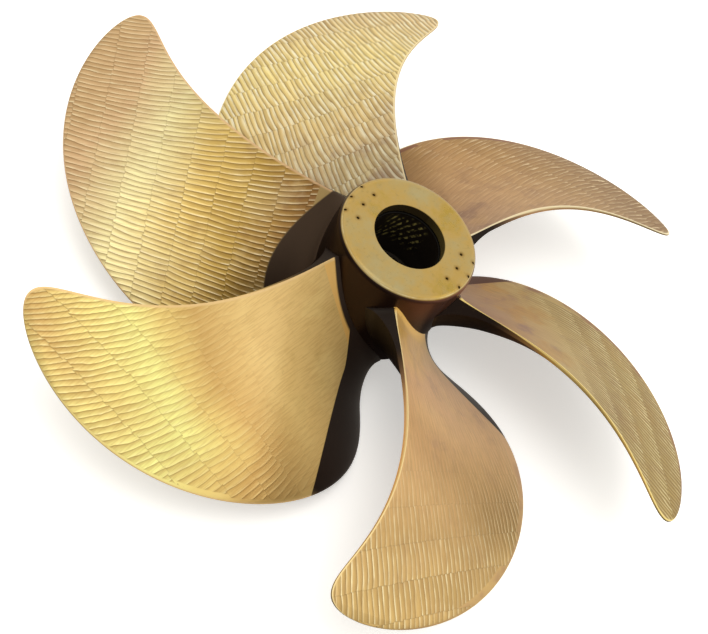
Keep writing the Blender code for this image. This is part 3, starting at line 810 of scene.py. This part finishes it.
# "lean" turns the strips, in degrees. "step" is the step over, in metres. "slant" is by how many
# passes a row shifts across one strip, "fan" is how that grows outwards and "swing" how it grows
# along the passes' way. "end play" is how far the ends of a strip shift, in strips. "uneven" is by
# how many passes a row shakes, and "depth" is a share of SCALLOP_DEPTH.
# "tones" lie at shares of the tip radius, "tone at nose" shifts them there, and "drift" is how far
# they wander. "clear" is from where to where the passes grow clear, and how clear they are further
# in. "relief" is how strong a pass's painted shade, painted glint and painted shadow line are, and
# "far end" how much of the glint its far end loses. "strips" is how unlike in painted shade the
# strips are, "burr" is the height of the burr in metres, and "shine" is how bare the metal is near
# the boss. "root line" is where the root ends: how far out, at what y, and how bent. "root shade" is
# 1 where the root, painted dark as shade, stays plain metal that mirrors the dark ground, and 0 where
# it is painted a bright tone and made less metallic. MOSTLY holds for the blades that don't say
# otherwise.
MOSTLY = {
    "swing": 0.0, "tone at nose": 0.0, "lit side": -1, "far end": 0.0, "shine": 0.6, "foot from": 0.213,
    "root line": (0.2, 0.0, 2.5), "root blur": 0.01, "root shade": 1.0, "skin shift": 0.0,
}
BLADES = (
    {
        "node": "blade_1", "seed": 0.35, "lean": 2, "step": 0.0236, "slant": 0.8, "fan": 2.8,
        "swing": -4.2, "end play": 0.08, "uneven": 0.4, "depth": 0.8,
        # The stops from 0.7 to 0.86 are a painted highlight band.
        "tones": ((0.28, "#e4c07a"), (0.5, "#eac67e"), (0.63, "#d8b068"), (0.7, "#f0d480"), (0.76, "#fffa9c"),
            (0.86, "#f8e48c"), (0.97, "#dcba74")),
        "tone at nose": -0.12, "drift": 0.14, "strips": 0.1, "stain": "#b8954d", "stained": 0.25,
        "patch": ("#f6da90", 0.25), "clear": (0.45, 0.97, 0.08), "relief": (0.4, 0.5, 0.36),
        "lit side": 1, "lit from": (0.55, 0.95), "seam": 0.22, "burr": 0.0008, "shine": 0.15,
        "shade": "#ae7832", "lit": "#fff2b4", "foot": "#eebe6c", "root": "#33251c",
        "root line": (0.206, 0.0, 2.4), "root blur": 0.004, "skin": "#33261f", "nose": "#efd68c",
        "nosed": 0.5, "nose band": 0.035, "edge": "#e8c488", "edge band": (0.004, 0.014),
    },
    {
        "node": "blade_2", "seed": 4.55, "lean": -2, "step": 0.02, "slant": 0.9, "fan": 1.2,
        "end play": 0.03, "uneven": 0.6, "depth": 0.55,
        "tones": ((0.24, "#e6b45c"), (0.34, "#dca870"), (0.5, "#d8aa74"), (0.66, "#deb47a"),
            (0.78, "#c8a46a"), (0.95, "#dab874")),
        "drift": 0.28, "strips": 0.16, "stain": "#a47a6a", "stained": 0.6, "patch": ("#e4b678", 0.6),
        "clear": (0.5, 0.88, 0.12), "relief": (0.4, 0.95, 0.22), "lit from": (0.62, 0.96), "seam": 0.16,
        "burr": 0.0007, "shine": 0.35, "shade": "#8a6a3c", "lit": "#fff0c0", "foot": "#deb268",
        "root": "#f6c468", "root blur": 0.024, "root shade": 0.0, "skin": "#2e221c", "skin shift": 0.062,
        "nose": "#a2785c", "nosed": 0.55, "nose band": 0.045, "edge": "#f4dca0",
        "edge band": (0.002, 0.007),
    },
    {
        "node": "blade_3", "seed": 7.75, "lean": 3, "step": 0.021, "slant": 2.8, "fan": 2.6,
        "end play": 0.05, "uneven": 0.6, "depth": 0.65,
        "tones": ((0.28, "#a8744a"), (0.42, "#b88a50"), (0.58, "#c6a866"), (0.8, "#bea45e"),
            (0.95, "#bea25e")),
        "drift": 0.3, "strips": 0.35, "stain": "#8a5e62", "stained": 0.8, "patch": ("#c08a30", 0.85),
        "clear": (0.48, 0.74, 0.05), "relief": (0.46, 1.0, 0.28), "lit from": (0.4, 0.92),
        "far end": 0.9, "seam": 0.04, "burr": 0.0008, "shade": "#6e5830", "lit": "#fff2bc",
        "foot": "#c49048", "root": "#5a3c28", "skin": "#6e4836", "skin shift": 0.06, "nose": "#94663e",
        "nosed": 1.0, "nose band": 0.055, "edge": "#ffe690", "edge band": (0.006, 0.014),
    },
    {
        "node": "blade_4", "seed": 11.45, "lean": -4, "step": 0.0225, "slant": 0.5, "fan": 3.8,
        "end play": 0.07, "uneven": 1.2, "depth": 0.45,
        "tones": ((0.28, "#b48c68"), (0.5, "#c49a6a"), (0.75, "#b58c54"), (0.95, "#9c784a")),
        "drift": 0.25, "strips": 0.25, "stain": "#8a6654", "stained": 0.7, "patch": ("#c49860", 0.5),
        "clear": (0.45, 0.9, 0.22), "relief": (0.34, 0.9, 0.24), "lit from": (0.6, 0.96), "far end": 0.8,
        "seam": 0.04, "burr": 0.0007, "shade": "#7a5632", "lit": "#ffe8bc", "foot": "#a08058",
        "root": "#5e4c3a", "skin": "#4e3c2e", "skin shift": 0.03, "nose": "#8e6044", "nosed": 1.0,
        "nose band": 0.055, "edge": "#fff0c4", "edge band": (0.006, 0.014),
    },
    {
        "node": "blade_5", "seed": 15.15, "lean": -6, "step": 0.0208, "slant": -0.6, "fan": 0.0,
        "end play": 0.07, "uneven": 0.9, "depth": 0.85,
        "tones": ((0.26, "#b49c80"), (0.36, "#d8bc90"), (0.5, "#fbdc96"), (0.75, "#fee692"),
            (0.95, "#e2c084")),
        "drift": 0.28, "strips": 0.14, "stain": "#8f7c80", "stained": 0.5, "patch": ("#f4e2a4", 0.5),
        "clear": (0.2, 0.3, 1.0), "relief": (0.5, 0.95, 0.55), "lit from": (0.35, 0.88), "seam": 0.18,
        "burr": 0.0009, "shade": "#846638", "lit": "#fff8da", "foot": "#a08a62", "foot from": 0.209,
        "root": "#6b5a44", "skin": "#5a4838", "nose": "#c8a468", "nosed": 0.3, "nose band": 0.01,
        "edge": "#f6e4b8", "edge band": (0.0015, 0.0075),
    },
    {
        "node": "blade_6", "seed": 18.85, "lean": 5, "step": 0.0192, "slant": 0.7, "fan": 2.5,
        "end play": 0.06, "uneven": 0.5, "depth": 0.75,
        # The stop at 0.72 is a painted highlight band.
        "tones": ((0.27, "#a87c44"), (0.34, "#caa058"), (0.44, "#d6b056"), (0.56, "#eccb74"),
            (0.72, "#fff4b6"), (0.86, "#e6c092"), (0.95, "#dcb888")),
        "tone at nose": -0.02, "drift": 0.26, "strips": 0.12, "stain": "#9a6e58", "stained": 0.45,
        "patch": ("#ffe8ac", 0.3), "clear": (0.2, 0.3, 1.0), "relief": (0.4, 0.7, 0.36), "lit side": 1,
        "lit from": (0.6, 0.97), "seam": 0.14, "burr": 0.0008, "shade": "#8e6430", "lit": "#fff0c4",
        "foot": "#b89c66", "foot from": 0.242, "root": "#564639", "root line": (0.303, 0.045, 3.9),
        "root blur": 0.006, "skin": "#33261f", "nose": "#d8b084", "nosed": 0.3, "nose band": 0.008,
        "edge": "#e0ba8c", "edge band": (0.003, 0.012),
    },
)


def make_blades():
    """The six blades, each turned to its place and milled in its own way."""
    master, tree = trimmed_blade(), milling_tree()
    for i, own in enumerate(BLADES):
        looks = MOSTLY | own
        node, seed = looks["node"], looks["seed"]
        mesh = master.copy()
        lean = radians(looks["lean"])
        mark_surface(mesh, lean, looks["root line"], looks["foot from"], looks["skin shift"])
        mesh.transform(Euler((0, 0, 2 * pi * i / len(BLADES))).to_matrix().to_4x4())
        rows = {
            "Strip width": STRIP_WIDTH, "Step over": looks["step"], "Slant": looks["slant"],
            "Fan": looks["fan"], "Swing": looks["swing"], "End play": looks["end play"],
            "Unevenness": looks["uneven"],
        }
        values = {
            "Depth": SCALLOP_DEPTH * looks["depth"], "Nose band": looks["nose band"], "Seed": seed,
            "Clear from": looks["clear"][0], "Clear to": looks["clear"][1], "Least": looks["clear"][2],
            "Finish": milled_bronze("nickel-aluminium bronze, milled, " + node, looks, rows, seed),
        }
        blade = worked("milled_" + node, mesh, tree, rows | values, BLADE_SHARP)
        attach(blade, "root")
        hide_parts(node)
    bpy.data.meshes.remove(master)


make_blades()


# Floor: a plain pale studio floor that turns up into a backdrop all round. The metal doesn't mirror
# it, as if it stood on a dark workshop floor, so the undersides stay as dark as the real ones.
FLOOR_RINGS, FLOOR_REACH = (2.0, 8.0, 24.0), 24.0
BEND_RADIUS, BEND_STEPS = 6.0, 8
BACKDROP_TOP = 22.0
FLOOR_SEGMENTS = 96
ROLLER_GRAIN = 667


def make_floor():
    """A wide pale floor at height zero with a backdrop round it, rolled with matt paint."""
    section = [(out, 0.0) for out in FLOOR_RINGS]
    for n in range(1, BEND_STEPS + 1):
        turn = pi / 2 * n / BEND_STEPS
        section.append((FLOOR_REACH + BEND_RADIUS * sin(turn), BEND_RADIUS * (1 - cos(turn))))
    section.append((FLOOR_REACH + BEND_RADIUS, BACKDROP_TOP))
    points, faces, count = [(0.0, 0.0, 0.0)], [], FLOOR_SEGMENTS
    for out, up in section:
        points += [(out * cos(2 * pi * n / count), out * sin(2 * pi * n / count), up) for n in range(count)]
    for ring in range(len(section) - 1):
        for n in range(count):
            a, b = 1 + ring * count + n, 1 + ring * count + (n + 1) % count
            faces.append((a, a + count, b + count, b))
    faces += [(0, 1 + n, 1 + (n + 1) % count) for n in range(count)]
    mesh = bpy.data.meshes.new("floor")
    mesh.from_pydata(points, [], faces)
    mesh.shade_smooth()
    floor = link("floor", mesh)
    material, tree, add, shader = new_finish("matt pale paint")
    place = add("ShaderNodeTexCoord", out="Object")
    grain = add(NOISE, {"Vector": place, "Scale": 1000 / ROLLER_GRAIN, "Detail": 3.0})
    colour = add(COAT, {0: grain, 6: linear("#f1f0ee"), 7: linear("#f6f5f3")}, out=2)
    glow = {"Emission Color": linear("#f6f5f3"), "Emission Strength": 0.5}
    connect(tree, shader, {"Base Color": colour, "Roughness": 0.9} | glow)
    mesh.materials.append(material)
    floor.visible_glossy = floor.visible_diffuse = floor.visible_shadow = False


make_floor()


# Light: a wide bright sky that leans over from behind the propeller, with dark ground before it, and
# two large dim soft boxes that put a slow sheen on the faces.
SKY_WAY = (-0.5, 0.0, 0.866)
SKY_STRENGTH = 1.15
SKY_TONES = (
    (0.0, "#322c29"), (0.29, "#36302d"), (0.36, "#655e57"), (0.44, "#b0aa9f"), (0.525, "#c5bfb5"),
    (0.65, "#d7d3ca"), (0.8, "#eeece6"), (0.88, "#faf8f3"), (1.0, "#e5e4df"),
)
SOFT_BOXES = (
    ("soft box, behind", (-2.2, 5.0, 4.6), 3.0), ("soft box, overhead", (1.6, -0.6, 6.4), 2.6),
)
SOFT_BOX_POWER, SOFT_BOX_TONE = 14, "#fffcf3"
SOFT_BOX_AIM = (0, 0, 0.3)
FILL_STRENGTH, FILL_SPREAD = 0.9, radians(50)


def make_light():
    """The surroundings, the soft boxes and a fill that leaves no glint."""
    world = bpy.data.worlds.new("studio")
    bpy.context.scene.world = world
    world.use_nodes = True
    tree = world.node_tree
    add, background = partial(add_node, tree), tree.nodes["Background"]
    way = add("ShaderNodeTexCoord", out="Generated")
    rise = add("ShaderNodeVectorMath", way, SKY_WAY, out="Value", operation="DOT_PRODUCT")
    sky = add("ShaderNodeValToRGB", add(MULTIPLY_ADD, rise, 0.5, 0.5))
    lay_tones(sky.node, SKY_TONES)
    connect(tree, background, {"Color": sky, "Strength": SKY_STRENGTH})
    for name, place, size in SOFT_BOXES:
        lamp = bpy.data.lights.new(name, "AREA")
        lamp.shape, lamp.size, lamp.energy = "DISK", size, SOFT_BOX_POWER
        lamp.color = linear(SOFT_BOX_TONE)[:3]
        holder = link(name, lamp)
        holder.location = place
        holder.rotation_euler = (Vector(place) - Vector(SOFT_BOX_AIM)).to_track_quat("Z", "Y").to_euler()
    fill = bpy.data.lights.new("fill on the floor", "SUN")
    fill.energy, fill.angle = FILL_STRENGTH, FILL_SPREAD
    link("fill on the floor", fill).visible_glossy = False


make_light()


# Camera: where the photograph was taken from, with the picture turned as it was. Its height is given
# from the boss's aft face.
CAMERA_PLACE = (3.3157, 0.3679, 3.5184)
CAMERA_RIGHT = (-0.55518, 0.74866, 0.36233)
CAMERA_UP = (-0.55624, -0.65809, 0.50746)
CAMERA_LENS = 63.152
CAMERA_SHIFT = (0.02598, -0.00493)


def make_camera():
    """The camera at the photograph's angle."""
    camera = bpy.data.cameras.new("camera")
    camera.lens = CAMERA_LENS
    camera.shift_x, camera.shift_y = CAMERA_SHIFT
    holder = link("camera", camera)
    right, up = Vector(CAMERA_RIGHT), Vector(CAMERA_UP)
    turn = Matrix((right, up, right.cross(up))).transposed().to_4x4()
    holder.matrix_world = Matrix.Translation(Vector(CAMERA_PLACE) + Vector((0, 0, AFT_FACE))) @ turn
    bpy.context.scene.camera = holder
    bpy.context.scene.view_settings.view_transform = "Standard"


make_camera()
